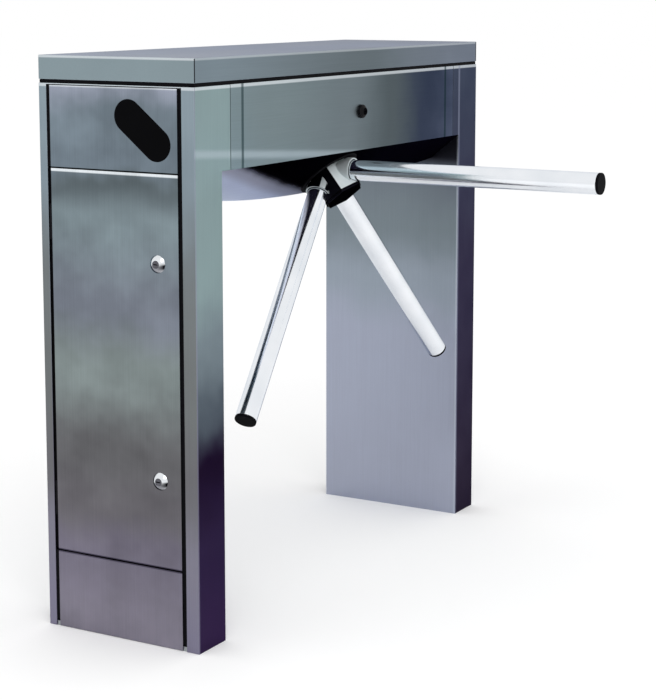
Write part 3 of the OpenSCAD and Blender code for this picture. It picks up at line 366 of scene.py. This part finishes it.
# Nodes that look different from the rest of their slot
nodeMaterials = {
    "upper_lock_plug": plugMetal, "lower_lock_plug": plugMetal, "override_lock_plug": blackSteel,
    "hub_cap": blackCastingAndDarkReflection, "door_hinge_leaves": blackSteel, "leg_hinge_leaves": blackSteel,
    "hinge_pins": blackSteel, "lid_hinge_leaves": blackSteel, "panel_hinge_leaves": blackSteel,
    "service_door": doorSteel, "kick_panel": doorSteel, "front_head_panel": doorSteel,
    "rear_head_panel": doorSteel, "rear_cover": doorSteel, "rear_leg": farLegSteel,
    "right_side_panel": sideSteel, "left_side_panel": sideSteel, "lid": lidSteel,
    "belly_cover": bellySteel,
}


def materialOf(node):
    return nodeMaterials.get(node, slotMaterials[slotOf[node]])


# Every CAD node keeps its mesh and gets its finish
for node, thing in frame["nodes"].items():
    thing.data.materials.clear()
    thing.data.materials.append(materialOf(node))
print("frame nodes finished")


# Operators act on all that is selected, so each job starts from one piece alone
def pick(piece):
    bpy.ops.object.select_all(action="DESELECT")
    piece.select_set(True)
    bpy.context.view_layer.objects.active = piece


def applyAll(piece):
    pick(piece)
    for modifier in list(piece.modifiers):
        bpy.ops.object.modifier_apply(modifier=modifier.name)


def smooth(piece, angle):
    pick(piece)
    bpy.ops.object.shade_smooth_by_angle(angle=math.radians(angle))


# Ties a new piece to the frame: the node that it stands for, its body, its slot and its finish
def settle(piece, name, node, stands, material=None):
    piece.name = name
    piece.data.name = name
    piece.data.materials.clear()
    piece.data.materials.append(material or materialOf(node))
    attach(piece, bodyOf[node])
    if stands:
        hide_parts(node)


# How wide the edges of each dressed node are rounded, in millimetres
edgeWidths = {
    "front_leg": 0.8, "rear_leg": 0.8, "right_side_panel": 0.6, "left_side_panel": 0.6, "lid": 1.6,
    "belly_cover": 0.6, "front_head_panel": 0.5, "rear_head_panel": 0.5, "service_door": 0.5,
    "kick_panel": 0.5, "rear_cover": 0.5, "hub": 1.2, "hub_cap": 1.4, "hub_seals": 0.8, "arm_out": 0.3,
    "arm_near": 0.3, "arm_far": 0.3, "arm_end_caps": 1.5, "door_lock_bodies": 0.4, "upper_lock_plug": 0.3,
    "lower_lock_plug": 0.3, "override_lock_body": 0.4, "override_lock_plug": 0.3, "front_window": 0.4,
    "rear_window": 0.4, "lid_seal": 0.8, "end_seals": 0.6, "lid_hinge_leaves": 0.3,
    "panel_hinge_leaves": 0.3, "rear_cover_screws": 0.3, "bearing_housing": 1.0, "base_plates": 0.6,
}
# Lengths in millimetres and angles in degrees: what counts as one point, as one flat face and as an
# edge, the steps of a rounded edge, and the widest angle that is shaded round
edgeRules = {"weld": 0.004, "flat": 0.6, "corner": 35, "steps": 2, "smooth": 40}


# Copies a node's mesh, joins its loose triangles into faces, and rounds its edges
def dress(node, width):
    source = frame["nodes"][node]
    piece = source.copy()
    piece.data = source.data.copy()
    piece.parent = None
    piece.matrix_world = source.matrix_world
    bpy.context.scene.collection.objects.link(piece)
    pick(piece)
    bpy.ops.object.transform_apply(location=True, rotation=True, scale=True)
    bpy.ops.object.mode_set(mode="EDIT")
    bpy.ops.mesh.select_all(action="SELECT")
    bpy.ops.mesh.remove_doubles(threshold=edgeRules["weld"] * mm)
    bpy.ops.mesh.dissolve_limited(angle_limit=math.radians(edgeRules["flat"]))
    bpy.ops.object.mode_set(mode="OBJECT")
    bevel = piece.modifiers.new("edges", "BEVEL")
    bevel.width = width * mm
    bevel.segments = edgeRules["steps"]
    bevel.limit_method = "ANGLE"
    bevel.angle_limit = math.radians(edgeRules["corner"])
    applyAll(piece)
    smooth(piece, edgeRules["smooth"])
    # Wide faces stay flat to the light; only the rounded edges are shaded round
    weighted = piece.modifiers.new("flat faces", "WEIGHTED_NORMAL")
    weighted.keep_sharp = True
    applyAll(piece)
    settle(piece, node + "_dressed", node, True)
    return piece


dressed = {node: dress(node, width) for node, width in edgeWidths.items()}
print("dressed", len(dressed), "nodes")

# Angles in degrees, the arms' meeting point in metres, other lengths in millimetres
hubValues = {
    "tilt": 51,                   # the tripod's axis below the horizontal
    "armAngle": 51,               # from the axis to each arm
    "arms": {"arm_out": 0, "arm_near": 120, "arm_far": 240},
    # the flats and collar halves set here are painted bright, as reflections
    "flatTurns": (30, 150, 270),  # the ground flats
    "brightHalf": 90,             # from an arm to the bright half of its collar
    "apex": (0.0972673, 0, 0.7588298),
    "collar": 46,                 # across
    "collarEnd": 58,              # from the meeting point to a collar's rim
    "collarSlack": 0.6,           # how far a face of a collar may lie from its round
    "sameWay": 0.97,              # the least cosine between two directions that count as one
    "ringReach": 19.5,            # from an arm's middle to the middle of its ring
    "ringThick": 0.8,             # from the middle of a ring to its surface
    "ringSteps": (64, 12),
    "ringSmooth": 60,
}


# The direction square to the tripod's axis at a turn from the level arm
def acrossAxis(values, turn):
    tilt, angle = math.radians(values["tilt"]), math.radians(turn)
    upAcross, nearAcross = Vector((math.sin(tilt), 0, math.cos(tilt))), Vector((0, -1, 0))
    return upAcross * math.cos(angle) + nearAcross * math.sin(angle)


def armDirection(values, turn):
    tilt, lean = math.radians(values["tilt"]), math.radians(values["armAngle"])
    outwards = Vector((math.cos(tilt), 0, -math.sin(tilt)))
    return outwards * math.cos(lean) + acrossAxis(values, turn) * math.sin(lean)


# Painted reflections: pale metal on every second flat, on the half of each collar beside it and on the
# collars' rims; the rest of the hub is painted black
def paintHubReflections(piece, values):
    flats = [acrossAxis(values, turn) for turn in values["flatTurns"]]
    arms = [armDirection(values, turn) for turn in values["arms"].values()]
    sides = [acrossAxis(values, turn + values["brightHalf"]) for turn in values["arms"].values()]
    piece.data.materials.clear()
    piece.data.materials.append(blackCastingAndDarkReflection)
    piece.data.materials.append(hubMetalAndHighlight)
    apex, reach = Vector(values["apex"]), values["collar"] * mm / 2
    for face in piece.data.polygons:
        bright = max(face.normal.dot(way) for way in flats + arms) > values["sameWay"]
        # a face of a collar is as far from its arm's axis as half the collar's width
        for arm, side in zip(arms, sides):
            offset = (face.center - apex) - arm * (face.center - apex).dot(arm)
            if abs(offset.length - reach) < values["collarSlack"] * mm and offset.dot(side) > 0:
                bright = True
        face.material_index = 1 if bright else 0


paintHubReflections(dressed["hub"], hubValues)


# A rubber ring closes the joint between each collar and its arm
def addArmRings(values):
    for node, turn in values["arms"].items():
        arm = armDirection(values, turn)
        bpy.ops.object.select_all(action="DESELECT")
        around, across = values["ringSteps"]
        bpy.ops.mesh.primitive_torus_add(major_radius=values["ringReach"] * mm,
            minor_radius=values["ringThick"] * mm, major_segments=around, minor_segments=across,
            location=Vector(values["apex"]) + arm * values["collarEnd"] * mm,
            rotation=arm.to_track_quat("Z", "Y").to_euler())
        ring = bpy.context.object
        pick(ring)
        bpy.ops.object.transform_apply(location=True, rotation=True, scale=True)
        smooth(ring, values["ringSmooth"])
        settle(ring, node + "_ring", "arm_end_caps", False, blackRubber)


addArmRings(hubValues)
print("hub finished")


def addBox(name, low, high, node, material):
    bpy.ops.object.select_all(action="DESELECT")
    middle = [(a + b) / 2 * mm for a, b in zip(low, high)]
    bpy.ops.mesh.primitive_cube_add(size=1, location=middle)
    piece = bpy.context.object
    piece.scale = [(b - a) * mm for a, b in zip(low, high)]
    pick(piece)
    bpy.ops.object.transform_apply(location=True, rotation=True, scale=True)
    settle(piece, name, node, False, material)


# Millimetres; the strips are named for the panels beside them, with their lowest and highest points
jointValues = {
    "left": -140, "right": -133, "thick": 0.6,
    "gap": 0.1,         # at each side of a strip beside a fixed panel
    "front": -519,      # the face of those strips
    "behind": -515.6,   # the face of the strip beside the door
    "knuckle": 4,       # how far that one reaches past the joint
    "fixed": {"kick": (9, 135.2), "head": (796, 931)},
    "door": (138, 793),
}


# Black strips that close the joint on the hinge side, in front of the fixed panels' tongues and
# behind the door's knuckles; they also stand in for the shade deep in the joint, as painted shade, so that
# the joint reads as one dark line from the foot to the lid
def addJoints(values):
    for name, (low, high) in values["fixed"].items():
        addBox(name + "JointStrip", (values["left"] + values["gap"], values["front"], low),
            (values["right"] - values["gap"], values["front"] + values["thick"], high),
            "end_seals", blackRubber)
    low, high = values["door"]
    addBox("doorJointStrip", (values["left"] - values["knuckle"], values["behind"], low),
        (values["right"], values["behind"] + values["thick"], high), "end_seals", blackRubber)


addJoints(jointValues)
# Millimetres; "fromEnd" is from the lid's end to the seam's middle
lidValues = {"x": 155, "y": 520, "fromEnd": 2.2, "low": 941, "high": 979, "wide": 2.4, "deep": 0.4,
    "proud": 0.15}


# The open seam at each corner of the folded lid
def addLidSeams(values):
    for sideX in (-1, 1):
        for sideY in (-1, 1):
            y = sideY * (values["y"] - values["fromEnd"])
            inner, outer = sideX * (values["x"] - values["deep"]), sideX * (values["x"] + values["proud"])
            addBox("lidSeam%d%d" % (sideX > 0, sideY > 0),
                (min(inner, outer), y - values["wide"] / 2, values["low"]),
                (max(inner, outer), y + values["wide"] / 2, values["high"]), "lid", blackRubber)


addLidSeams(lidValues)
print("joints and seams added")

stageValues = {
    "floorSize": 60, "floor": "#FFFFFF", "worldStrength": 1.0,
    "keyWatts": 60, "keyPlace": (2.5, -3.5, 3.6), "keySize": 2.5, "keyAim": (0, 0, 0.5),
}


# A white floor in a white world, and one large soft light from the camera's side
def makeStage(values):
    bpy.ops.mesh.primitive_plane_add(size=values["floorSize"], location=(0, 0, 0))
    floor = bpy.context.object
    floor.name = "floor"
    material, tree = newMaterial("white paper floor")
    diffuse = addNode(tree, "ShaderNodeBsdfDiffuse", {"Color": toLinear(values["floor"])})
    finishMaterial(tree, diffuse)
    floor.data.materials.append(material)
    world = bpy.data.worlds.new("studio")
    bpy.context.scene.world = world
    world.use_nodes = True
    tree = world.node_tree
    tree.nodes.clear()
    sky = addNode(tree, "ShaderNodeBackground", {"Color": (1, 1, 1, 1), "Strength": values["worldStrength"]})
    addNode(tree, "ShaderNodeOutputWorld", links={"Surface": sky.outputs[0]})
    bpy.ops.object.light_add(type="AREA", location=values["keyPlace"])
    key = bpy.context.object
    key.data.energy = values["keyWatts"]
    key.data.size = values["keySize"]
    aim = Vector(values["keyAim"]) - Vector(values["keyPlace"])
    key.rotation_euler = aim.to_track_quat("-Z", "Y").to_euler()


makeStage(stageValues)
print("stage made")
